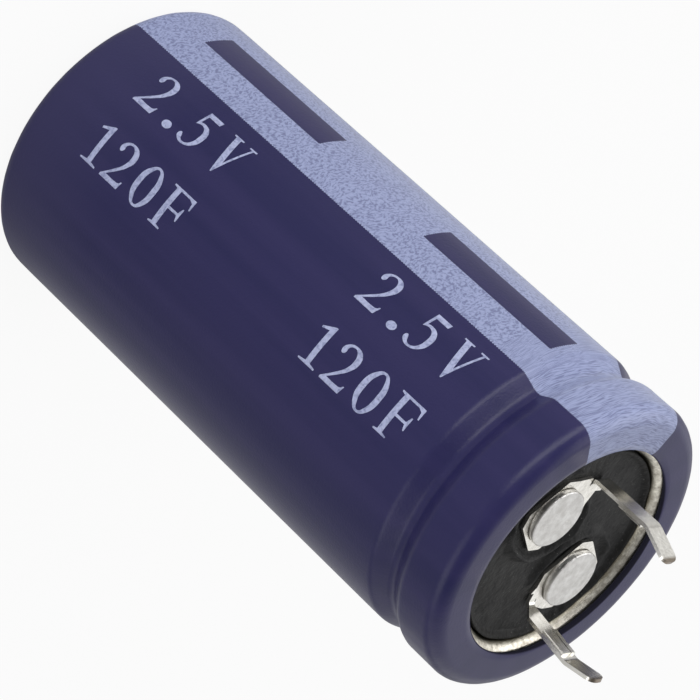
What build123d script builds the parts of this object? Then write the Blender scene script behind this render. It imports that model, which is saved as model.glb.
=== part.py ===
from build123d import *
import os
from math import atan, cos, degrees, radians, sin, tan

# A snap-in supercapacitor: a beaded aluminium can closed by a rubber-faced board,
# with two riveted lugs whose legs snap into a circuit board, in a shrink sleeve.
# Millimetres.  +Z runs up the can to the terminals, the origin is the middle of
# the closed end where it rests, and the two legs stand on the X axis, the
# negative one on the -X side under the printed polarity stripe.

os.makedirs("parts", exist_ok=True)

# Body
body_height = 46.7  # over the folded edges of the sleeve
can_radius = 11.0
can_wall = 0.4
can_base = 0.7
base_corner = 1.0
film_gap = 0.02  # air left between closely fitting curved faces
sleeve_wall = 0.15

# Bead rolled into the can, which carries the seal
bead_drop = 4.9  # below the top of the body
bead_depth = 1.1
bead_half = 1.4
bead_mouth = 0.7
bead_root = 0.55

# Edge of the can, curled inwards and down onto the seal
rim_round = 1.0
curl_inset = 3.35  # of its innermost face, from the can's outer radius
curl_round = 1.0
curl_end_drop = 1.3  # below the top of the body

# Pressure vent scored into the closed end
vent_length = 10.0
vent_width = 0.5
vent_depth = 0.35

# Sleeve, shrunk over both ends
sleeve_fold_inset = 2.8
sleeve_lip_inset = 2.5
sleeve_groove_depth = 0.85
sleeve_groove_root = 0.8

# Polarity stripe and its dashes, printed into the face of the sleeve
print_depth = 0.04
print_gap = 0.01
stripe_azimuth = 187.0
stripe_angle = 44.2
dash_azimuth = 187.0
dash_angle = 13.8
dash_length = 12.3
dash_pitch = 22.9
dash_start = 4.4

# Seal: a phenolic board faced with rubber
seal_gap = 0.1
board_thickness = 1.4
board_cone = 0.8
rubber_thickness = 1.7
rubber_bead_height = 0.35
rubber_bead_width = 0.4

# Lugs and their legs
terminal_pitch = 10.0
lug_sheet = 0.26
leg_width = 1.45
leg_rise = 6.4  # tip above the body
leg_kink_rise = 4.0
leg_fold = 0.6
leg_kink_round = 1.0
leg_tip_round = 0.6
wing_sheet = 0.22
wing_round = 0.18
wing_length = 2.0
wing_seam = 0.08
wing_seam_shift = 0.2
wing_gap_below_kink = 0.4
neck_length = 1.05
neck_shoulder = 0.15
root_slit = 0.1
root_height = 0.4
plate_corner = 0.25
plate_half = 2.4  # across the tangent of the rivet circle
plate_outer = 2.05
plate_inner = 2.2
plate_clip = 0.75
leg_bends = {"negative": (0.3, 0.0, 23.7, 0.0), "positive": (-0.2, 7.8, 9.3, 0.9)}

# Rivets
rivet_radius_from_axis = 3.84
rivet_azimuth = 47.0
rivet_head_radius = 2.13
rivet_head_height = 0.44
rivet_collar_radius = 2.0
rivet_collar_height = 0.1
rivet_step = 0.06
rivet_shank_radius = 1.1
rivet_hole_gap = 0.03
rivet_tail_radius = 1.8
rivet_tail_height = 0.45
washer_radius = 2.5
washer_thickness = 0.5

# Wound element and what holds it
tab_thickness = 0.2
tab_width = 3.0
tab_reach = 1.6
tab_fold_gap = 1.0  # from the rivet's tail to the fold beside it
tab_foot_radius = 4.6
tab_knee_rise = 1.8
tab_fold = 0.4
insulator_thickness = 0.3
element_gap = 0.4  # to the can's wall
element_bore = 1.5
element_headroom = 4.4  # below the bead
tape_thickness = 0.12
tape_length = 22.0
slot_gap = 0.3

# Levels and radii that follow from the sizes above
sleeve_radius = can_radius + film_gap + sleeve_wall
can_bottom = sleeve_wall + film_gap
can_top = body_height - sleeve_wall - film_gap
curl_radius = can_radius - curl_inset
curl_end = body_height - curl_end_drop
bead_z = body_height - bead_drop
bead_flank = degrees(atan(bead_depth / bead_half))
seal_radius = can_radius - can_wall - seal_gap
seat_z = bead_z + bead_half + can_wall * tan(radians(bead_flank / 2))
board_bottom = seat_z - board_cone
board_top = board_bottom + board_thickness
rubber_top = board_top + rubber_thickness
lug_top = rubber_top + lug_sheet
washer_bottom = board_bottom - washer_thickness
tab_bottom = washer_bottom - tab_thickness
base_inside = can_bottom + can_base
element_radius = can_radius - can_wall - element_gap
element_bottom = base_inside + insulator_thickness
element_top = bead_z - bead_half - element_headroom
tape_bottom = (element_bottom + element_top - tape_length) / 2
rivet_x = rivet_radius_from_axis * cos(radians(rivet_azimuth))
rivet_y = rivet_radius_from_axis * sin(radians(rivet_azimuth))
polarities = {"negative": 180.0, "positive": 0.0}


def meridian(azimuth):
    """Plane through the axis, its x pointing outwards at the azimuth and its y up."""
    angle = radians(azimuth)
    return Plane((0, 0, 0), x_dir=(cos(angle), sin(angle), 0), z_dir=(sin(angle), -cos(angle), 0))


def sleeve_face_line():
    """Outer face of the sleeve, from the fold under the base to the lip over the rim."""
    return FilletPolyline(
        (can_radius - sleeve_fold_inset, 0),
        (sleeve_radius, 0),
        (sleeve_radius, bead_z - bead_half),
        (sleeve_radius - sleeve_groove_depth, bead_z),
        (sleeve_radius, bead_z + bead_half),
        (sleeve_radius, body_height),
        (can_radius - sleeve_lip_inset, body_height),
        radius=[
            base_corner + film_gap + sleeve_wall,
            bead_mouth + film_gap + sleeve_wall,
            sleeve_groove_root,
            bead_mouth + film_gap + sleeve_wall,
            rim_round + film_gap + sleeve_wall,
        ],
    )


def film(depth, azimuth=0.0, angle=360.0):
    """The outermost depth of the sleeve, over an arc of its circumference."""
    with BuildPart() as layer:
        with BuildSketch(meridian(azimuth)):
            with BuildLine():
                sleeve_face_line()
                offset(amount=depth, side=Side.LEFT)
            make_face()
        revolve(axis=Axis.Z, revolution_arc=angle)
    return layer.part


def dash_blocks(margin):
    """Blocks through the sleeve's face where the stripe is left out, grown by a margin."""
    spread = degrees(margin / sleeve_radius)
    with BuildPart() as blocks:
        with BuildSketch(meridian(dash_azimuth - dash_angle / 2 - spread)):
            for index in range(2):
                with Locations((sleeve_radius, dash_start + dash_length / 2 + index * dash_pitch)):
                    Rectangle(2 * sleeve_wall, dash_length + 2 * margin)
        revolve(axis=Axis.Z, revolution_arc=dash_angle + 2 * spread)
    return blocks.part


def printed_area(depth, margin):
    """The stripe without its two dashes, let into the sleeve, drawn in all round by a margin."""
    inset = degrees(margin / sleeve_radius)
    with BuildPart() as area:
        add(film(depth, stripe_azimuth - stripe_angle / 2 + inset, stripe_angle - 2 * inset))
        add(dash_blocks(margin), mode=Mode.SUBTRACT)
    return area.part


# Can: drawn cup, bead, curled edge and scored vent
with BuildPart() as can:
    with BuildSketch(Plane.XZ):
        with BuildLine():
            FilletPolyline(
                (0, can_bottom),
                (can_radius, can_bottom),
                (can_radius, bead_z - bead_half),
                (can_radius - bead_depth, bead_z),
                (can_radius, bead_z + bead_half),
                (can_radius, can_top),
                (curl_radius, can_top),
                (curl_radius, curl_end),
                radius=[base_corner, bead_mouth, bead_root, bead_mouth, rim_round, curl_round],
            )
            offset(amount=can_wall, side=Side.LEFT)
        make_face()
    revolve(axis=Axis.Z)
    with BuildSketch(Plane.XY.offset(base_inside)):
        Circle(can_radius - base_corner)
    extrude(amount=can_wall - can_base)
    with BuildSketch(Plane.XY.offset(can_bottom)):
        SlotOverall(vent_length, vent_width)
        SlotOverall(vent_length, vent_width, rotation=90)
    extrude(amount=vent_depth, mode=Mode.SUBTRACT)
can.part.label = "can"
export_step(can.part, "parts/can.step")

# Sleeve: one film folded over both ends, its face recessed where the stripe is printed
with BuildPart() as sleeve:
    add(film(sleeve_wall))
    add(printed_area(print_depth + print_gap, 0), mode=Mode.SUBTRACT)
sleeve.part.label = "sleeve"
export_step(sleeve.part, "parts/sleeve.step")

# Polarity stripe, with the two dashes left out of it
with BuildPart() as polarity_stripe:
    add(printed_area(print_depth, print_gap))
polarity_stripe.part.label = "polarity_stripe"
export_step(polarity_stripe.part, "parts/polarity_stripe.step")

# Phenolic board, its lower edge coned to sit on the bead
rivet_places = [(rivet_x, rivet_y), (-rivet_x, -rivet_y)]
with BuildPart() as phenolic_board:
    with BuildSketch(Plane.XZ):
        with BuildLine():
            Polyline(
                (0, board_bottom),
                (seal_radius - board_cone * tan(radians(bead_flank)), board_bottom),
                (seal_radius, seat_z),
                (seal_radius, board_top),
                (0, board_top),
                close=True,
            )
        make_face()
    revolve(axis=Axis.Z)
    with BuildSketch(Plane.XY.offset(board_bottom)):
        with Locations(*rivet_places):
            Circle(rivet_shank_radius + rivet_hole_gap)
    extrude(amount=board_thickness, mode=Mode.SUBTRACT)
phenolic_board.part.label = "phenolic_board"
export_step(phenolic_board.part, "parts/phenolic_board.step")

# Rubber facing, stepped down under the curl and squeezed up inside it
bead_radius = curl_radius - seal_gap
with BuildPart() as rubber_seal:
    with BuildSketch(Plane.XZ) as section:
        with BuildLine():
            Polyline(
                (0, board_top),
                (seal_radius, board_top),
                (seal_radius, curl_end - seal_gap),
                (bead_radius, curl_end - seal_gap),
                (bead_radius, rubber_top + rubber_bead_height),
                (bead_radius - rubber_bead_width / 2, rubber_top + rubber_bead_height),
                (bead_radius - rubber_bead_width, rubber_top),
                (0, rubber_top),
                close=True,
            )
        make_face()
    revolve(axis=Axis.Z)
    with BuildSketch(Plane.XY.offset(board_top)):
        with Locations(*rivet_places):
            Circle(rivet_shank_radius + rivet_hole_gap)
    extrude(amount=rubber_thickness + rubber_bead_height, mode=Mode.SUBTRACT)
rubber_seal.part.label = "rubber_seal"
export_step(rubber_seal.part, "parts/rubber_seal.step")


def snap_in_lug(fold_shift, shaft_lean, tip_lean, root_cut):
    """Lug on the +X side: plate, neck, and a leg folded up, kinked and winged.

    The fold stands out from its place by a length, the shaft leans outwards and
    the tip leans back inwards by angles, and the root is cut back by a width.
    """
    fold_x = terminal_pitch / 2 + lug_sheet / 2 + fold_shift
    kink_z = body_height + leg_kink_rise
    tip_z = body_height + leg_rise
    kink_x = fold_x + (kink_z - rubber_top) * tan(radians(shaft_lean))
    tip_x = kink_x - (tip_z - kink_z) * tan(radians(tip_lean))
    rivet_foot = Plane(
        (rivet_x, rivet_y, 0),
        x_dir=(cos(radians(rivet_azimuth)), sin(radians(rivet_azimuth)), 0),
    )
    rivet_plane = rivet_foot.offset(rubber_top)
    with BuildPart() as lug:
        # plate round the rivet, and the neck that leads to the fold
        with BuildSketch(rivet_plane) as plate:
            with BuildLine():
                Polyline(
                    (plate_outer - plate_clip, plate_half),
                    (-plate_inner + plate_clip, plate_half),
                    (-plate_inner, plate_half - plate_clip),
                    (-plate_inner, -plate_half + plate_clip),
                    (-plate_inner + plate_clip, -plate_half),
                    (plate_outer - plate_clip, -plate_half),
                    (plate_outer, -plate_half + plate_clip),
                    (plate_outer, plate_half - plate_clip),
                    close=True,
                )
            make_face()
            fillet(plate.vertices(), radius=plate_corner)
        with BuildSketch(Plane.XY.offset(rubber_top)):
            with BuildLine():
                Polyline(
                    (fold_x - leg_fold, leg_width / 2),
                    (fold_x - leg_fold, -leg_width / 2),
                    (fold_x - neck_length, -leg_width / 2),
                    (fold_x - neck_length, -neck_shoulder),
                    rivet_foot.from_local_coords((plate_clip - plate_inner, -plate_half)),
                    (rivet_x, rivet_y),
                    rivet_foot.from_local_coords((plate_outer - plate_clip, -plate_half)),
                    (fold_x, leg_width / 2 + root_slit),
                    (fold_x - leg_fold, leg_width / 2 + root_slit),
                    close=True,
                )
            make_face()
        extrude(amount=lug_sheet)
        # leg, its bent edge drawn along the lower and outer face
        with BuildSketch(Plane.XZ):
            with BuildLine():
                FilletPolyline(
                    (fold_x - neck_length, rubber_top),
                    (fold_x, rubber_top),
                    (kink_x, kink_z),
                    (tip_x, tip_z),
                    radius=[leg_fold, leg_kink_round],
                )
                offset(amount=lug_sheet, side=Side.LEFT)
            make_face()
        extrude(amount=leg_width / 2, both=True)
        tip_face = lug.faces().sort_by(Axis.Z)[-1]
        fillet(tip_face.edges().sort_by(SortBy.LENGTH)[:2], radius=leg_tip_round)
        # root cut back on one side, widening to the full leg along a slope
        if root_cut:
            with BuildSketch(Plane.YZ.offset(fold_x - neck_length)):
                with BuildLine():
                    Polyline(
                        (-leg_width / 2, rubber_top),
                        (root_cut - leg_width / 2, rubber_top),
                        (root_cut - leg_width / 2, rubber_top + root_height),
                        (-leg_width / 2, rubber_top + root_height + root_cut),
                        close=True,
                    )
                make_face()
            extrude(amount=2 * neck_length, mode=Mode.SUBTRACT)
        # wings folded flat onto the inner face of the shaft, their edges rounded by the fold
        lean = radians(shaft_lean)
        wing_z = kink_z - wing_gap_below_kink - wing_length
        wing_x = fold_x + (wing_z - rubber_top) * tan(lean) - lug_sheet / cos(lean)
        wing_base = Plane((wing_x, 0, wing_z), x_dir=(0, 1, 0), z_dir=(sin(lean), 0, cos(lean)))
        with BuildSketch(wing_base) as wings:
            Rectangle(leg_width, wing_sheet, align=(Align.CENTER, Align.MIN))
            fillet(wings.vertices().sort_by(Axis.Y)[2:], radius=wing_round)
            with Locations((wing_seam_shift, 0)):
                Rectangle(wing_seam, wing_sheet, align=(Align.CENTER, Align.MIN), mode=Mode.SUBTRACT)
        extrude(amount=wing_length)
        # hole for the shank
        with BuildSketch(rivet_plane):
            Circle(rivet_shank_radius + rivet_hole_gap)
        extrude(amount=lug_sheet, mode=Mode.SUBTRACT)
    return lug.part


for polarity, turn in polarities.items():
    with BuildPart() as snap_in:
        add(snap_in_lug(*leg_bends[polarity]), rotation=(0, 0, turn))
    snap_in.part.label = polarity + "_lug"
    export_step(snap_in.part, "parts/" + polarity + "_lug.step")


def rivet():
    """Rivet along Z: collared head on the lug, shank, and tail clinched below the tab."""
    collar_top = lug_top + rivet_collar_height
    head_top = lug_top + rivet_head_height
    tail_top = tab_bottom
    with BuildPart() as body:
        with BuildSketch(Plane.XZ):
            with BuildLine():
                Polyline(
                    (0, tail_top - rivet_tail_height),
                    (rivet_tail_radius - rivet_step, tail_top - rivet_tail_height),
                    (rivet_tail_radius, tail_top - rivet_tail_height + rivet_step),
                    (rivet_tail_radius, tail_top),
                    (rivet_shank_radius, tail_top),
                    (rivet_shank_radius, lug_top),
                    (rivet_collar_radius, lug_top),
                    (rivet_collar_radius, collar_top),
                    (rivet_head_radius, collar_top),
                    (rivet_head_radius, head_top - rivet_step),
                    (rivet_head_radius - rivet_step, head_top),
                    (0, head_top),
                    close=True,
                )
            make_face()
        revolve(axis=Axis.Z)
    return body.part


def washer():
    """Washer between the board and the tab."""
    with BuildPart() as ring:
        with BuildSketch(Plane.XY.offset(washer_bottom)):
            Circle(washer_radius)
            Circle(rivet_shank_radius + rivet_hole_gap, mode=Mode.SUBTRACT)
        extrude(amount=washer_thickness)
    return ring.part


def lead_tab():
    """Foil tab from the wound element to the rivet, drawn with the rivet's axis on Z
    and the can's axis on the -X side of it."""
    centre = -rivet_radius_from_axis
    with BuildPart() as tab:
        with BuildSketch(Plane.XZ):
            with BuildLine():
                FilletPolyline(
                    (tab_reach, tab_bottom),
                    (-rivet_tail_radius - tab_fold_gap, tab_bottom),
                    (centre + tab_foot_radius, element_top + tab_knee_rise),
                    (centre + tab_foot_radius, element_top),
                    radius=tab_fold,
                )
                offset(amount=tab_thickness, side=Side.RIGHT)
            make_face()
        extrude(amount=tab_width / 2, both=True)
        with BuildSketch(Plane.XY.offset(tab_bottom)):
            Circle(rivet_shank_radius + rivet_hole_gap)
        extrude(amount=tab_thickness, mode=Mode.SUBTRACT)
    return tab.part


# Rivets, washers and lead tabs, one of each on either side
fastening = {"rivet": rivet, "washer": washer, "lead_tab": lead_tab}
for polarity, turn in polarities.items():
    for piece_name, make_piece in fastening.items():
        with BuildPart() as piece:
            with PolarLocations(rivet_radius_from_axis, 1, start_angle=rivet_azimuth + turn):
                add(make_piece())
        piece.part.label = polarity + "_" + piece_name
        export_step(piece.part, "parts/" + piece.part.label + ".step")

# Wound element: electrodes and separators rolled round an open core
with BuildPart() as wound_element:
    with BuildSketch(Plane.XY.offset(element_bottom)):
        Circle(element_radius - tape_thickness - film_gap)
        Circle(element_bore, mode=Mode.SUBTRACT)
    extrude(amount=element_top - element_bottom)
wound_element.part.label = "wound_element"
export_step(wound_element.part, "parts/wound_element.step")

# Tape that keeps the roll wound
with BuildPart() as element_tape:
    with BuildSketch(Plane.XY.offset(tape_bottom)):
        Circle(element_radius)
        Circle(element_radius - tape_thickness, mode=Mode.SUBTRACT)
    extrude(amount=tape_length)
element_tape.part.label = "element_tape"
export_step(element_tape.part, "parts/element_tape.step")

# Paper discs under and over the roll, the upper one slotted for the tabs
with BuildPart() as bottom_insulator:
    with BuildSketch(Plane.XY.offset(base_inside)):
        Circle(element_radius - seal_gap)
    extrude(amount=insulator_thickness)
bottom_insulator.part.label = "bottom_insulator"
export_step(bottom_insulator.part, "parts/bottom_insulator.step")

with BuildPart() as top_insulator:
    with BuildSketch(Plane.XY.offset(element_top)):
        Circle(element_radius)
        with PolarLocations(tab_foot_radius, 2, start_angle=rivet_azimuth):
            Rectangle(2 * (tab_thickness + slot_gap), tab_width + 2 * slot_gap, mode=Mode.SUBTRACT)
    extrude(amount=insulator_thickness)
top_insulator.part.label = "top_insulator"
export_step(top_insulator.part, "parts/top_insulator.step")
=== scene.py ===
"""Looks of the snap-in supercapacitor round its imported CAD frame.

The film with its printing, the lettering and the rubber are meshes made here, and every
other piece keeps its CAD shape.  Sizes are in millimetres until a mesh is made.
"""
import math

import bmesh
import bpy
from mathutils import Matrix, Quaternion, Vector, noise


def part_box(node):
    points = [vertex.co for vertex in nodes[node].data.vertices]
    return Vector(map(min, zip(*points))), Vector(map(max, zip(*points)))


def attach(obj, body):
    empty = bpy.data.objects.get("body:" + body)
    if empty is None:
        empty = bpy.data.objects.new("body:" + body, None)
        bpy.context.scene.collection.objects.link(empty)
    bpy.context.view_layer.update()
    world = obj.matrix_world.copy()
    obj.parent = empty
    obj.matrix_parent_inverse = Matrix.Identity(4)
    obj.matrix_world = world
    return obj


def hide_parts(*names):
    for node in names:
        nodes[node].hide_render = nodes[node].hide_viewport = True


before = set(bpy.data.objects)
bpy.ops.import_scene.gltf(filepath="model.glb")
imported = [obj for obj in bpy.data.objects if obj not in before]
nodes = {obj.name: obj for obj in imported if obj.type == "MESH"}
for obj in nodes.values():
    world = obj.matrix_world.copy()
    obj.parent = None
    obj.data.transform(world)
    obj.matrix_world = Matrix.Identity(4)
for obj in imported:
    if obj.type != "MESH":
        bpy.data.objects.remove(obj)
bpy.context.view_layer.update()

MM = 0.001
azimuth_steps = 288  # round every turned mesh

# Sleeve: its outline follows the can's bead and curl
sleeve_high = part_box("sleeve")[1] / MM
sleeve_radius = sleeve_high.x
sleeve_top = sleeve_high.z
sleeve_wall = 0.15
bead_z = sleeve_top - 4.9
bead_half = 1.4
groove_depth = 0.85
corner_round = 0.87
groove_round = 0.8
end_round = 1.17
fold_radius = 8.2  # of the film's edge under the base
lip_bend_radius = 8.34  # where the film rolls down with the can's curled edge
lip_radius = 8.07
lip_drop = 0.155
flat_inset = 2  # from the outer radius; nearer to the axis the film lies flat
sink_wave = 0.012  # how far the film sinks in waves, and in puckers near its ends
sink_pucker = 0.016

# Film's tones, with a painted sheen towards the base and painted shade at the lip
film_roughness = 0.3
base_sheen_height = 10  # where the film's painted sheen starts, paler towards the base
lip_shade_azimuth = 64  # side where the painted shade on the film's roll over the curl reaches furthest
lip_shade_reach = 1.55  # of the painted shade band on that side
lip_shade_least = 0.12  # of the painted shade band all round
lip_shade_narrowing = 1.7  # how fast the painted shade narrows away from that side
lip_shade_fade = 0.2  # half the width over which it starts

# Printing on the sleeve: places along the can and angles round it
stripe_azimuth = -175.9
stripe_angle = 50.0
dash_azimuth = -173.0
dash_angle = 13.8
dash_length = 12.3
dash_start = 4.4
print_pitch = 22.9
print_squeeze = 1.6  # printed length that each millimetre has lost over the bead and the base
ink_stretch = 4.2  # times that the ink's marks are longer round the bead than on the body
tooth_pitch = 0.2
tooth_height = 0.07
ink_height = 0.01

# Lettering: each line's baseline azimuth, with its glyphs' places along the can
cap_height = 3.05
glyph_strips = 10  # that a glyph is cut into, to bend round the film
text_lines = [
    (-128.8, [("2", 5.85), (".", 8.85), ("5", 10.3), ("V", 13.2)]),
    (-102.0, [("1", 5.8), ("2", 7.95), ("0", 10.6), ("F", 13.25)]),
]
repeat_turn = -1.1  # the second print of the text sits a little further round

# Rubber
rubber_low, rubber_high = (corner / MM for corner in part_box("rubber_seal"))
rubber_edge = 7.53
rubber_bead = 0.35  # height that it is squeezed up inside the curl
rubber_step = sleeve_top - 1.4  # its face under the curl
rubber_pitch = 0.12  # from ring to ring of its mesh
rubber_fold = 0.08  # depth of its soft folds
rivet_place = (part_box("positive_rivet")[0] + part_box("positive_rivet")[1]) / 2 / MM
hole_radius = 1.15
hole_depth = 6
leg_place = 5  # of each leg from the axis
swell_radius = 3.4  # of the swelling round each sunk plate
swell_width = 0.3
swell_height = 0.65

# Darker places of the metals: painted shade on the can's curl, and the legs' tips
curl_shade_radius = 7.68  # within it, painted shade where the can's curl faces the rubber
leg_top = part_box("negative_lug")[1].z / MM
tip_length = 0.2  # of each leg's darker tip
darker_fade = 0.2

# Studio
unlit_side = (-0.123, -0.696, 0.707)  # where reflections find the studio dark
camera_place = (-86.33, -174.43, 139.05)
camera_aim = (0, 0, 24.85)
camera_roll = 132.9
camera_lens = 175.4


# ---------------------------------------------------------------- node helpers


def srgb(red, green, blue):
    """Linear colour of an sRGB one given from 0 to 255."""
    def linear(value):
        value /= 255
        return value / 12.92 if value <= 0.04045 else ((value + 0.055) / 1.055) ** 2.4
    return (linear(red), linear(green), linear(blue), 1)


def put(tree, kind, inputs=None, **settings):
    """Adds a node.  Inputs are values, or other nodes' outputs to link."""
    node = tree.nodes.new("ShaderNode" + kind)
    for name, value in settings.items():
        setattr(node, name, value)
    for socket, value in (inputs or {}).items():
        if isinstance(value, bpy.types.NodeSocket):
            tree.links.new(value, node.inputs[socket])
        else:
            node.inputs[socket].default_value = value
    return node


def calc(tree, operation, *values):
    return put(tree, "Math", dict(enumerate(values)), operation=operation).outputs[0]


def vector_calc(tree, operation, one, other):
    return put(tree, "VectorMath", {0: one, 1: other}, operation=operation).outputs[0]


def rise(tree, value, low, high):
    """0 at low, and evenly up to 1 at high."""
    return put(tree, "MapRange", {"Value": value, "From Min": low, "From Max": high}).outputs[0]


def ramp(tree, value, *stops):
    """Colour ramp through (place, colour) stops."""
    node = put(tree, "ValToRGB", {"Fac": value})
    elements = node.color_ramp.elements
    while len(elements) < len(stops):
        elements.new(1)
    for element, (place, colour) in zip(elements, stops):
        element.position = place
        element.color = colour
    return node.outputs["Color"]


def blend(tree, factor, one, other):
    """One colour where the factor is 0, and the other where it is 1."""
    return put(tree, "Mix", {"Factor": factor, 6: one, 7: other}, data_type="RGBA").outputs[2]


def grain(tree, vector, scale, detail=2.0, distortion=0.0, roughness=0.5):
    inputs = {"Vector": vector, "Scale": scale, "Detail": detail, "Distortion": distortion,
              "Roughness": roughness}
    return put(tree, "TexNoise", inputs).outputs["Fac"]


def from_axis(tree, place):
    """Distance from the can's axis."""
    split = put(tree, "SeparateXYZ", {0: place})
    squares = [calc(tree, "MULTIPLY", side, side) for side in split.outputs[:2]]
    return calc(tree, "SQRT", calc(tree, "ADD", *squares))


def new_material(name, **sockets):
    """Principled material, its tree and the place vector in millimetres."""
    material = bpy.data.materials.new(name)
    material.use_nodes = True
    tree = material.node_tree
    shader = tree.nodes["Principled BSDF"]
    for socket, value in sockets.items():
        shader.inputs[socket.replace("_", " ")].default_value = value
    place = put(tree, "TexCoord").outputs["Object"]
    return material, tree, shader, vector_calc(tree, "MULTIPLY", place, (1 / MM, 1 / MM, 1 / MM))


def bump(tree, shader, height, distance):
    """Relief of a height from 0 to 1 over a distance in millimetres."""
    node = put(tree, "Bump", {"Height": height, "Distance": distance * MM})
    tree.links.new(node.outputs[0], shader.inputs["Normal"])


# ---------------------------------------------------------------- mesh helpers


def add_object(name, mesh, material):
    """Object of a bmesh, which is freed."""
    data = bpy.data.meshes.new(name)
    mesh.to_mesh(data)
    mesh.free()
    data.materials.append(material)
    piece = bpy.data.objects.new(name, data)
    bpy.context.scene.collection.objects.link(piece)
    return piece


def add_ring(mesh, place_at):
    """Vertices round the can's axis, at the (radius, z) that place_at gives for an azimuth."""
    ring = []
    for step in range(azimuth_steps):
        azimuth = 2 * math.pi * step / azimuth_steps
        radius, z = place_at(azimuth)
        place = Vector((radius * math.cos(azimuth), radius * math.sin(azimuth), z))
        ring.append(mesh.verts.new(place * MM))
    return ring


def rounded(corners, arc_step, run_step):
    """Points along a line of (x, y, rounding) corners, with roundings and runs divided."""
    points = []

    def run_to(end):
        start = points[-1]
        steps = max(1, round((end - start).length / run_step))
        points.extend(start.lerp(end, (i + 1) / steps) for i in range(steps))

    points.append(Vector(corners[0][:2]))
    for before, corner, after in zip(corners, corners[1:], corners[2:]):
        at = Vector(corner[:2])
        back = (Vector(before[:2]) - at).normalized()
        ahead = (Vector(after[:2]) - at).normalized()
        half = back.angle(ahead) / 2
        start = at + back * corner[2] / math.tan(half)
        centre = at + (back + ahead).normalized() * corner[2] / math.sin(half)
        turn = math.pi - 2 * half
        if back.x * ahead.y - back.y * ahead.x > 0:
            turn = -turn
        run_to(start)
        steps = max(2, round(abs(turn) * corner[2] / arc_step))
        for i in range(1, steps + 1):
            points.append(centre + Matrix.Rotation(turn * i / steps, 2) @ (start - centre))
    run_to(Vector(corners[-1][:2]))
    return points


def ease(value, low, high):
    """Smooth step from 0 at low to 1 at high."""
    share = min(1, max(0, (value - low) / (high - low)))
    return share * share * (3 - 2 * share)


# ---------------------------------------------------------------- sleeve


def film_sink(azimuth, z):
    """How far the shrunk film sinks below its nominal face."""
    round_way = sleeve_radius * math.cos(azimuth), sleeve_radius * math.sin(azimuth)
    wave = noise.noise(Vector((*round_way, z * 0.25)) * 0.3)
    pucker = noise.noise(Vector((*round_way, z * 0.3)) * 1.1 + Vector((7, 3, 1)))
    near_end = ease(z, bead_z - 3, bead_z - 1) + ease(-z, -2.5, -0.5)
    return sink_wave * (0.5 + wave) + sink_pucker * near_end * (0.5 + pucker)


def sleeve_outline():
    """Outer face of the film from the fold under the base to the lip, as (radius, z)."""
    return rounded([
        (fold_radius, 0, 0),
        (sleeve_radius, 0, end_round),
        (sleeve_radius, bead_z - bead_half, corner_round),
        (sleeve_radius - groove_depth, bead_z, groove_round),
        (sleeve_radius, bead_z + bead_half, corner_round),
        (sleeve_radius, sleeve_top, end_round),
        (lip_bend_radius, sleeve_top, end_round),
        (lip_radius, sleeve_top - lip_drop, 0),
    ], arc_step=0.09, run_step=0.5)


def print_lengths(outline):
    """Length along the film as it was printed, before it shrank over the bead and ends."""
    lengths = [0.0]
    for before, point in zip(outline, outline[1:]):
        shrunk = ease(point.y, bead_z - 2, bead_z - 0.5), ease(-point.y, -1.2, 0)
        squeeze = 1 + print_squeeze * shrunk[0] + print_squeeze * shrunk[1]
        lengths.append(lengths[-1] + (point - before).length * squeeze)
    start = next(i for i, point in enumerate(outline) if point.y > end_round)
    return [length - lengths[start] + outline[start].y for length in lengths]


def build_sleeve(outline, lengths, material):
    """The film: outer face, then the inner face at the wall's distance, joined at both edges.

    Its UV map holds degrees round the film and printed millimetres along it.
    """
    rings = [(point, length, point.x >= sleeve_radius - flat_inset)
             for point, length in zip(outline, lengths)]
    for i in reversed(range(0, len(outline), 3)):
        ahead = outline[min(i + 1, len(outline) - 1)] - outline[max(i - 1, 0)]
        inward = Vector((-ahead.y, ahead.x)).normalized()
        rings.append((outline[i] + inward * sleeve_wall, lengths[i], False))

    mesh = bmesh.new()
    layer = mesh.loops.layers.uv.new("print")
    grid = []
    for point, length, sinks in rings:
        grid.append(add_ring(mesh, lambda azimuth: (
            point.x - (film_sink(azimuth, point.y) if sinks else 0), point.y)))
    for k, ring in enumerate(grid):
        following = (k + 1) % len(grid)
        next_ring = grid[following]
        for step in range(azimuth_steps):
            on = (step + 1) % azimuth_steps
            face = mesh.faces.new((ring[step], ring[on], next_ring[on], next_ring[step]))
            face.smooth = True
            cells = ((step, k), (step + 1, k), (step + 1, following), (step, following))
            for loop, (column, row) in zip(face.loops, cells):
                loop[layer].uv = (360 * column / azimuth_steps, rings[row][1])
    return add_object("film_sleeve", mesh, material)


def speckled_ink(tree, place):
    """Pale ink broken up by darker marks: fine on the body, drawn out round the bead."""
    along = put(tree, "SeparateXYZ", {0: place}).outputs[1]
    shrunk = rise(tree, along, bead_z - 4, bead_z)
    stretch = calc(tree, "MULTIPLY_ADD", shrunk, 1 - ink_stretch, ink_stretch)
    flow = grain(tree, place, 0.35, detail=1)
    flow = put(tree, "CombineXYZ", {1: calc(tree, "MULTIPLY", flow, 1.6)}).outputs[0]
    spread = put(tree, "CombineXYZ", {0: stretch, 1: 6}).outputs[0]
    bent = vector_calc(tree, "MULTIPLY", vector_calc(tree, "ADD", place, flow), spread)
    worms = grain(tree, bent, 1, detail=1, distortion=0.6)
    patches = grain(tree, place, 0.6, detail=2)
    tone = calc(tree, "MULTIPLY_ADD", patches, 0.15, worms)
    return ramp(tree, tone, (0.46, srgb(112, 118, 152)), (0.56, srgb(138, 146, 180)),
                (0.68, srgb(148, 156, 190)))


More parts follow.
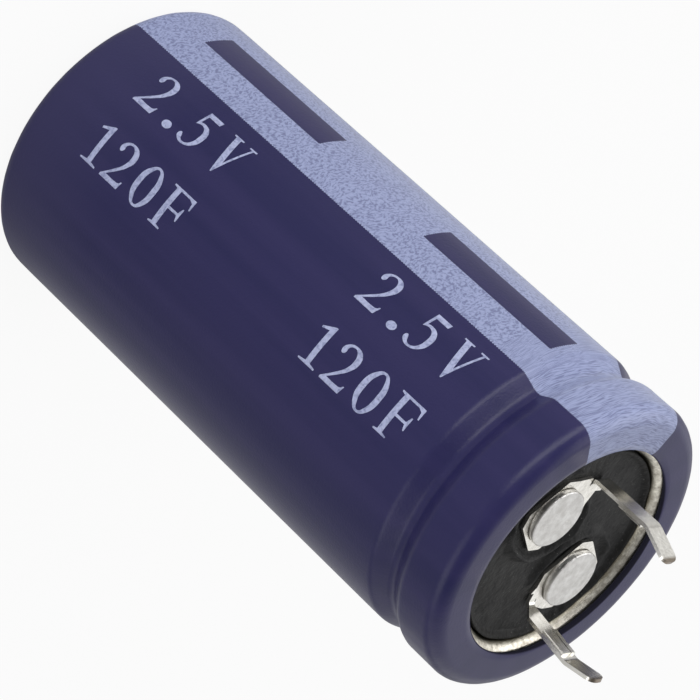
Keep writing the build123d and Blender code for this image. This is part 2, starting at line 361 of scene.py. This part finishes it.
def sleeve_material(lip_length):
    """Dark film with the stripe and dashes printed on it, and painted shade where it rolls over
    the curl.
    """
    material, tree, shader, place = new_material("film", Specular_IOR_Level=0.23)
    uv = put(tree, "UVMap", uv_map="print").outputs[0]
    split = put(tree, "SeparateXYZ", {0: uv})
    angle, along = split.outputs[0], split.outputs[1]
    per_degree = math.radians(sleeve_radius)
    tooth_slope = 2 * tooth_height / tooth_pitch

    def offset_from(azimuth):
        """Length round the film from a line at the azimuth."""
        away = calc(tree, "SUBTRACT", angle, azimuth % 360)
        return calc(tree, "ABSOLUTE", calc(tree, "MULTIPLY", away, per_degree))

    tooth = calc(tree, "PINGPONG", along, tooth_pitch / 2)
    edge = calc(tree, "MULTIPLY_ADD", tooth, tooth_slope, offset_from(stripe_azimuth))
    stripe = calc(tree, "LESS_THAN", edge, stripe_angle / 2 * per_degree + tooth_height / 2)
    phase = calc(tree, "PINGPONG", calc(tree, "SUBTRACT", along, dash_start + dash_length / 2),
                 print_pitch / 2)
    tooth = calc(tree, "PINGPONG", offset_from(dash_azimuth), tooth_pitch / 2)
    phase = calc(tree, "MULTIPLY_ADD", tooth, tooth_slope, phase)
    dash = calc(tree, "MULTIPLY",
                calc(tree, "LESS_THAN", offset_from(dash_azimuth), dash_angle / 2 * per_degree),
                calc(tree, "LESS_THAN", phase, (dash_length + tooth_height) / 2))
    dash = calc(tree, "MULTIPLY", dash, calc(tree, "LESS_THAN", along, 2 * print_pitch))
    inked = calc(tree, "MULTIPLY", stripe, calc(tree, "SUBTRACT", 1, dash))

    on_film = put(tree, "CombineXYZ", {0: calc(tree, "MULTIPLY", angle, per_degree), 1: along})
    on_film = on_film.outputs[0]
    cloud = grain(tree, vector_calc(tree, "MULTIPLY", on_film, (0.5, 0.02, 1)), 1, detail=4)
    film = ramp(tree, cloud, (0.35, srgb(34, 33, 74)), (0.65, srgb(43, 40, 81)))
    # Painted sheen: the film is paler towards the base
    film = blend(tree, rise(tree, along, base_sheen_height, 0), film, srgb(51, 49, 84))

    # Painted shade: a dark band at the film's roll over the curl, reaching furthest from the lip
    # on one side
    turned = calc(tree, "RADIANS", calc(tree, "SUBTRACT", angle, lip_shade_azimuth))
    turned = calc(tree, "MAXIMUM", calc(tree, "COSINE", turned), 0)
    reach = calc(tree, "MULTIPLY_ADD", calc(tree, "POWER", turned, lip_shade_narrowing),
                 lip_shade_reach, lip_shade_least)
    from_lip = calc(tree, "SUBTRACT", lip_length, along)
    painted_lip_shade = rise(tree, calc(tree, "SUBTRACT", reach, from_lip), -lip_shade_fade, lip_shade_fade)
    film = blend(tree, painted_lip_shade, film, srgb(9, 8, 26))
    colour = blend(tree, inked, film, speckled_ink(tree, on_film))
    tree.links.new(colour, shader.inputs["Base Color"])
    roughness = calc(tree, "MULTIPLY_ADD", painted_lip_shade, 1 - film_roughness, film_roughness)
    tree.links.new(roughness, shader.inputs["Roughness"])
    fine = grain(tree, place, 6, detail=3)
    bump(tree, shader, calc(tree, "MULTIPLY_ADD", inked, 0.3, fine), 0.012)
    return material


# ---------------------------------------------------------------- lettering


def oval(x, y, half_width, half_height):
    """Smooth closed outline round a centre."""
    return [(x + half_width * math.cos(math.radians(turn)),
             y + half_height * math.sin(math.radians(turn)), "s") for turn in range(0, 360, 45)]


def corners(*points):
    return [(x, y, "c") for x, y in points]


# Outlines of the glyphs for a cap height of 1: "c" is a sharp corner and "s" a smooth point
glyphs = {
    "2": [[(0, 0, "c"), (0, 0.05, "c"), (0.24, 0.3, "s"), (0.4, 0.52, "s"), (0.44, 0.73, "s"),
           (0.38, 0.89, "s"), (0.26, 0.945, "s"), (0.14, 0.87, "s"), (0.145, 0.76, "s"),
           (0.08, 0.7, "s"), (0.02, 0.76, "s"), (0.07, 0.91, "s"), (0.29, 1, "s"),
           (0.51, 0.93, "s"), (0.59, 0.74, "s"), (0.52, 0.53, "s"), (0.36, 0.33, "s"),
           (0.14, 0.12, "c"), (0.46, 0.12, "s"), (0.57, 0.14, "s"), (0.62, 0.2, "c"),
           (0.65, 0.2, "c"), (0.6, 0, "c")]],
    "5": [[(0.12, 0.99, "c"), (0.55, 0.99, "c"), (0.53, 0.87, "c"), (0.18, 0.87, "c"),
           (0.165, 0.66, "c"), (0.31, 0.68, "s"), (0.51, 0.6, "s"), (0.6, 0.37, "s"),
           (0.52, 0.12, "s"), (0.28, -0.01, "s"), (0.07, 0.04, "s"), (0.01, 0.13, "s"),
           (0.06, 0.2, "s"), (0.12, 0.15, "s"), (0.17, 0.07, "s"), (0.28, 0.045, "s"),
           (0.41, 0.13, "s"), (0.455, 0.36, "s"), (0.4, 0.54, "s"), (0.27, 0.61, "s"),
           (0.16, 0.59, "s"), (0.1, 0.56, "c")]],
    "0": [oval(0.33, 0.5, 0.32, 0.51), oval(0.33, 0.5, 0.17, 0.455)],
    ".": [oval(0.13, 0.09, 0.13, 0.1)],
    "1": [corners((0.02, 0), (0.52, 0), (0.52, 0.04), (0.355, 0.07), (0.355, 1), (0.31, 1),
                  (0.01, 0.85), (0.02, 0.8), (0.215, 0.86), (0.215, 0.07), (0.02, 0.04))],
    "V": [corners((0, 1), (0.3, 1), (0.3, 0.965), (0.225, 0.955), (0.419, 0.29),
                  (0.6, 0.955), (0.51, 0.965), (0.51, 1), (0.74, 1), (0.74, 0.965),
                  (0.655, 0.955), (0.39, -0.02), (0.355, -0.02), (0.07, 0.955), (0, 0.965))],
    "F": [corners((0, 0), (0.38, 0), (0.38, 0.035), (0.25, 0.06), (0.25, 0.49), (0.54, 0.49),
                  (0.59, 0.37), (0.625, 0.37), (0.625, 0.69), (0.59, 0.69), (0.54, 0.55),
                  (0.25, 0.55), (0.25, 0.945), (0.55, 0.945), (0.66, 0.9), (0.7, 0.74),
                  (0.735, 0.74), (0.725, 1), (0, 1), (0, 0.965), (0.105, 0.94),
                  (0.105, 0.06), (0, 0.035))],
}


def flat_glyph(outlines):
    """Filled mesh of a glyph in its own plane, cut into strips that can bend round the film."""
    curve = bpy.data.curves.new("glyph", "CURVE")
    curve.dimensions = "2D"
    curve.fill_mode = "BOTH"
    curve.resolution_u = 8
    for outline in outlines:
        spline = curve.splines.new("BEZIER")
        spline.bezier_points.add(len(outline) - 1)
        spline.use_cyclic_u = True
        for point, (x, y, kind) in zip(spline.bezier_points, outline):
            point.co = (x, y, 0)
            handle = "AUTO" if kind == "s" else "VECTOR"
            point.handle_left_type = point.handle_right_type = handle
    holder = bpy.data.objects.new("glyph", curve)
    bpy.context.scene.collection.objects.link(holder)
    filled = bpy.data.meshes.new_from_object(
        holder.evaluated_get(bpy.context.evaluated_depsgraph_get()))
    bpy.data.objects.remove(holder)
    mesh = bmesh.new()
    mesh.from_mesh(filled)
    for strip in range(glyph_strips + 1):
        bmesh.ops.bisect_plane(mesh, geom=mesh.verts[:] + mesh.edges[:] + mesh.faces[:],
                               plane_co=(0, strip / glyph_strips, 0), plane_no=(0, 1, 0))
    return mesh


def build_lettering(material):
    """Both prints of the two lines, wrapped round the sleeve just above its face."""
    text = bmesh.new()
    for repeat in range(2):
        for baseline, placed in text_lines:
            for glyph, start in placed:
                mesh = flat_glyph(glyphs[glyph])
                for vertex in mesh.verts:
                    z = start + repeat * print_pitch + vertex.co.x * cap_height
                    up = math.degrees(vertex.co.y * cap_height / sleeve_radius)
                    azimuth = math.radians(baseline + repeat * repeat_turn - up)
                    radius = sleeve_radius - film_sink(azimuth, z) + ink_height
                    round_way = radius * math.cos(azimuth), radius * math.sin(azimuth)
                    vertex.co = Vector((*round_way, z)) * MM
                part = bpy.data.meshes.new("glyph")
                mesh.to_mesh(part)
                mesh.free()
                text.from_mesh(part)
    bmesh.ops.recalc_face_normals(text, faces=text.faces)
    for face in text.faces:
        face.smooth = True
        middle = face.calc_center_median()
        if face.normal.dot(Vector((middle.x, middle.y, 0))) < 0:
            face.normal_flip()
    return add_object("lettering", text, material)


def ink_material():
    material, tree, shader, place = new_material("ink", Roughness=0.5, Specular_IOR_Level=0.4)
    worms = grain(tree, place, 3.2, detail=3, distortion=0.8)
    colour = ramp(tree, worms, (0.3, srgb(124, 130, 166)), (0.48, srgb(155, 161, 193)),
                  (0.64, srgb(166, 172, 205)))
    tree.links.new(colour, shader.inputs["Base Color"])
    bump(tree, shader, worms, 0.01)
    return material


# ---------------------------------------------------------------- rubber


def rubber_face(x, y):
    """Height of the rubber's face: soft folds, a bead at the curl, swellings at the plates."""
    away = math.hypot(x, y)
    level = rubber_high.z - rubber_bead
    level += rubber_bead * ease(away, rubber_edge - 0.5, rubber_edge - 0.12)
    fold = noise.noise(Vector((x, y, 0)) * 0.45) + 0.5 * noise.noise(Vector((x, y, 9)) * 1.1)
    level -= rubber_fold * (0.7 + fold)
    swell = 0
    for side in (1, -1):
        apart = math.hypot(x - side * rivet_place.x, y - side * rivet_place.y)
        from_leg = math.hypot(x - side * leg_place, y)
        ring = math.exp(-((apart - swell_radius) / swell_width) ** 2)
        swell = max(swell, ring * ease(from_leg, 1.3, 2.6) * ease(rubber_edge - away, 0.4, 1.4))
    uneven = 0.6 + 0.8 * noise.noise(Vector((x, y, 5)) * 0.5)
    return level + swell_height * swell * uneven


def build_rubber(material):
    """Disc whose face is folded, stepped down under the curl, with the rivets' holes."""
    mesh = bmesh.new()
    face_rings = math.ceil(rubber_edge / rubber_pitch)
    rings = []
    for radius in [rubber_pitch * i for i in range(1, face_rings)] + [rubber_edge]:
        rings.append(add_ring(mesh, lambda azimuth: (
            radius, rubber_face(radius * math.cos(azimuth), radius * math.sin(azimuth)))))
    for place in ((rubber_edge, rubber_step), (rubber_high.x, rubber_step),
                  (rubber_high.x, rubber_low.z)):
        rings.append(add_ring(mesh, lambda azimuth: place))
    for ring, outer in zip(rings, rings[1:]):
        for i in range(azimuth_steps):
            j = (i + 1) % azimuth_steps
            mesh.faces.new((ring[i], outer[i], outer[j], ring[j])).smooth = True
    middle = mesh.verts.new(Vector((0, 0, rubber_face(0, 0))) * MM)
    for i in range(azimuth_steps):
        mesh.faces.new((middle, rings[0][i], rings[0][(i + 1) % azimuth_steps])).smooth = True
    mesh.faces.new(list(reversed(rings[-1])))
    piece = add_object("rubber_face", mesh, material)
    for name in ("negative_rivet", "positive_rivet"):
        low, high = (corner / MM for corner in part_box(name))
        bpy.ops.mesh.primitive_cylinder_add(
            vertices=48, radius=hole_radius * MM, depth=hole_depth * MM,
            location=Vector(((low.x + high.x) / 2, (low.y + high.y) / 2, rubber_low.z + 1)) * MM)
        cutter = bpy.context.object
        hole = piece.modifiers.new("hole", "BOOLEAN")
        hole.object = cutter
        cut = bpy.data.meshes.new_from_object(
            piece.evaluated_get(bpy.context.evaluated_depsgraph_get()))
        piece.modifiers.clear()
        piece.data = cut
        bpy.data.objects.remove(cutter)
    return piece


def rubber_material():
    """Black rubber, matte, with a leathery grain and a little pale dust, and painted shade by the
    curl.
    """
    material, tree, shader, place = new_material("rubber", Roughness=0.62, Specular_IOR_Level=0.24)
    dust = grain(tree, place, 9, detail=4)
    blotch = grain(tree, place, 0.8, detail=3)
    colour = ramp(tree, blotch, (0.35, srgb(17, 17, 18)), (0.65, srgb(38, 38, 38)))
    # Painted shade: the rubber is darker next to the can's curl
    painted_curl_shade = rise(tree, from_axis(tree, place), rubber_edge - 0.6, rubber_edge - 0.25)
    colour = blend(tree, painted_curl_shade, colour, srgb(12, 11, 10))
    specks = ramp(tree, dust, (0.68, (0, 0, 0, 1)), (0.74, (1, 1, 1, 1)))
    tree.links.new(blend(tree, specks, colour, srgb(120, 120, 118)), shader.inputs["Base Color"])
    bump(tree, shader, grain(tree, place, 2.4, detail=5), 0.14)
    return material


# ---------------------------------------------------------------- metals and hidden pieces


def above(tree, place, level):
    """1 above a height, 0 a little below it."""
    height = put(tree, "SeparateXYZ", {0: place}).outputs[2]
    return rise(tree, height, level - darker_fade, level)


def within(tree, place, radius):
    """1 nearer to the can's axis than the radius, 0 a little outside it."""
    return rise(tree, from_axis(tree, place), radius + darker_fade, radius)


def metal(name, dark, light, roughness, scale, relief, streak=(1, 1, 1), darker_place=None):
    """Metal with a cloudy tone, uneven polish and fine relief.

    One darker place may be given: above or within, its bound and its colour.
    """
    material, tree, shader, place = new_material(name, Metallic=1, Roughness=roughness)
    streaked = vector_calc(tree, "MULTIPLY", place, streak)
    cloud = grain(tree, streaked, scale, detail=5, roughness=0.6)
    tone = ramp(tree, cloud, (0.32, dark), (0.68, light))
    if darker_place:
        where, bound, colour = darker_place
        tone = blend(tree, where(tree, place, bound), tone, colour)
    tree.links.new(tone, shader.inputs["Base Color"])
    polish = calc(tree, "MULTIPLY_ADD", cloud, -0.16, roughness + 0.08)
    tree.links.new(polish, shader.inputs["Roughness"])
    bump(tree, shader, grain(tree, streaked, scale * 3, detail=4), relief)
    return material


def fibrous(name, dark, light, roughness, scale, relief, streak=(1, 1, 1)):
    """Board, paper or tape: two tones of fibre."""
    material, tree, shader, place = new_material(name, Roughness=roughness)
    fibre = grain(tree, vector_calc(tree, "MULTIPLY", place, streak), scale, detail=4)
    tree.links.new(ramp(tree, fibre, (0.35, dark), (0.65, light)), shader.inputs["Base Color"])
    bump(tree, shader, fibre, relief)
    return material


def roll_material():
    """Wound foil and separator: rings of dark carbon, bright foil and pale paper."""
    material, tree, shader, place = new_material("roll", Roughness=0.6)
    wobble = calc(tree, "MULTIPLY", grain(tree, place, 0.6), 0.2)
    turn = calc(tree, "PINGPONG", calc(tree, "ADD", from_axis(tree, place), wobble), 0.2)
    colour = ramp(tree, calc(tree, "MULTIPLY", turn, 5), (0.2, srgb(28, 28, 30)),
                  (0.7, srgb(60, 60, 62)), (0.85, srgb(190, 188, 180)))
    tree.links.new(colour, shader.inputs["Base Color"])
    bump(tree, shader, turn, 0.05)
    return material


# ---------------------------------------------------------------- pieces

film_line = sleeve_outline()
film_lengths = print_lengths(film_line)
sleeve = build_sleeve(film_line, film_lengths, sleeve_material(film_lengths[-1]))
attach(sleeve, "root")
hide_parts("sleeve", "polarity_stripe")

lettering = build_lettering(ink_material())
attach(lettering, "root")

rubber = build_rubber(rubber_material())
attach(rubber, "root")
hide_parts("rubber_seal")

# The can's curl has painted shade where it faces the rubber
can_metal = metal("can_metal", srgb(158, 152, 140), srgb(234, 230, 218), 0.34, 2.6, 0.03,
                  darker_place=(within, curl_shade_radius, srgb(88, 82, 66)))
tin = metal("tin", srgb(212, 209, 202), srgb(238, 236, 230), 0.24, 2.2, 0.012, (1, 1, 0.4),
            darker_place=(above, leg_top - tip_length, srgb(140, 130, 118)))
rivet_metal = metal("rivet_metal", srgb(186, 184, 181), srgb(214, 213, 211), 0.34, 1.6, 0.06)
tab_metal = metal("tab_metal", srgb(170, 170, 172), srgb(212, 212, 214), 0.4, 1.2, 0.02)
board = fibrous("board", srgb(96, 62, 34), srgb(134, 92, 54), 0.6, 1.2, 0.03, (1, 1, 8))
paper = fibrous("paper", srgb(206, 200, 184), srgb(226, 222, 208), 0.85, 2.5, 0.02)
tape = fibrous("tape", srgb(176, 150, 84), srgb(196, 170, 104), 0.35, 0.8, 0.01, (1, 1, 0.2))
finishes = {
    "can": can_metal,
    "negative_lug": tin,
    "positive_lug": tin,
    "negative_rivet": rivet_metal,
    "positive_rivet": rivet_metal,
    "negative_washer": tab_metal,
    "positive_washer": tab_metal,
    "negative_lead_tab": tab_metal,
    "positive_lead_tab": tab_metal,
    "phenolic_board": board,
    "wound_element": roll_material(),
    "element_tape": tape,
    "bottom_insulator": paper,
    "top_insulator": paper,
}
for name, finish in finishes.items():
    nodes[name].data.materials.clear()
    nodes[name].data.materials.append(finish)

# ---------------------------------------------------------------- studio


def shown_share(tree, to_camera, in_gloss):
    """Share of white that camera rays and reflected or refracted rays see."""
    path = put(tree, "LightPath")
    mirrored = calc(tree, "MAXIMUM", path.outputs["Is Glossy Ray"],
                    path.outputs["Is Transmission Ray"])
    return calc(tree, "MAXIMUM", calc(tree, "MULTIPLY", path.outputs["Is Camera Ray"], to_camera),
                calc(tree, "MULTIPLY", mirrored, in_gloss))


def build_floor():
    """Pale floor that shows nearly white and keeps the object's shadow."""
    mesh = bmesh.new()
    bmesh.ops.create_grid(mesh, x_segments=8, y_segments=8, size=2)
    material, tree, shader, place = new_material("floor", Roughness=1, Specular_IOR_Level=0)
    shader.inputs["Base Color"].default_value = srgb(222, 222, 222)
    glow = put(tree, "Emission", {"Color": (1, 1, 1, 1), "Strength": 1.0})
    share = shown_share(tree, 0.92, 0.05)
    mixed = put(tree, "MixShader", {0: share, 1: shader.outputs[0], 2: glow.outputs[0]})
    tree.links.new(mixed.outputs[0], tree.nodes["Material Output"].inputs["Surface"])
    floor = add_object("studio_floor", mesh, material)
    floor.location.z = -0.02 * MM


def build_world():
    """Studio that is white to the camera, and darker in reflections of its unlit side."""
    world = bpy.data.worlds.new("studio")
    bpy.context.scene.world = world
    world.use_nodes = True
    tree = world.node_tree
    way = put(tree, "TexCoord").outputs["Generated"]
    unlit = put(tree, "VectorMath", {0: way, 1: unlit_side}, operation="DOT_PRODUCT")
    shade = ramp(tree, unlit.outputs["Value"], (0.2, (1, 1, 1, 1)), (0.65, (0.3, 0.3, 0.3, 1)))
    shade = blend(tree, put(tree, "LightPath").outputs["Is Camera Ray"], shade, (1, 1, 1, 1))
    glow = put(tree, "Background", {"Color": shade, "Strength": 1.0})
    dim = tree.nodes["Background"]
    dim.inputs["Color"].default_value = (1, 1, 1, 1)
    dim.inputs["Strength"].default_value = 0.45
    share = shown_share(tree, 1, 1)
    mixed = put(tree, "MixShader", {0: share, 1: dim.outputs[0], 2: glow.outputs[0]})
    tree.links.new(mixed.outputs[0], tree.nodes["World Output"].inputs["Surface"])


def softbox(name, azimuth, elevation, width, height, power, distance=320):
    """Area lamp in a direction from the middle of the can, facing it."""
    lamp = bpy.data.lights.new(name, "AREA")
    lamp.shape = "RECTANGLE"
    lamp.size = width * MM
    lamp.size_y = height * MM
    lamp.energy = power
    holder = bpy.data.objects.new(name, lamp)
    bpy.context.scene.collection.objects.link(holder)
    a, e = math.radians(azimuth), math.radians(elevation)
    way = Vector((math.cos(a) * math.cos(e), math.sin(a) * math.cos(e), math.sin(e)))
    holder.location = (Vector((0, 0, 25)) + way * distance) * MM
    holder.rotation_euler = way.to_track_quat("Z", "Y").to_euler()


def build_camera():
    """Camera that looks down on the lead end, rolled so that the can lies across the frame."""
    data = bpy.data.cameras.new("camera")
    data.lens = camera_lens
    data.sensor_width = 36
    data.clip_start, data.clip_end = 0.01, 10
    camera = bpy.data.objects.new("camera", data)
    bpy.context.scene.collection.objects.link(camera)
    camera.location = Vector(camera_place) * MM
    look = (Vector(camera_aim) * MM - camera.location).to_track_quat("-Z", "Y")
    camera.rotation_mode = "QUATERNION"
    camera.rotation_quaternion = look @ Quaternion((0, 0, 1), math.radians(camera_roll))
    bpy.context.scene.camera = camera


build_camera()
build_floor()
build_world()
softbox("key", -156, 14, 600, 230, 1.7, 500)
softbox("fill", -60, 14, 300, 150, 0.22)
softbox("back", 125, 45, 260, 260, 0.35)
softbox("glint", -147, 45, 60, 30, 0.015)
bpy.context.scene.view_settings.view_transform = "Standard"
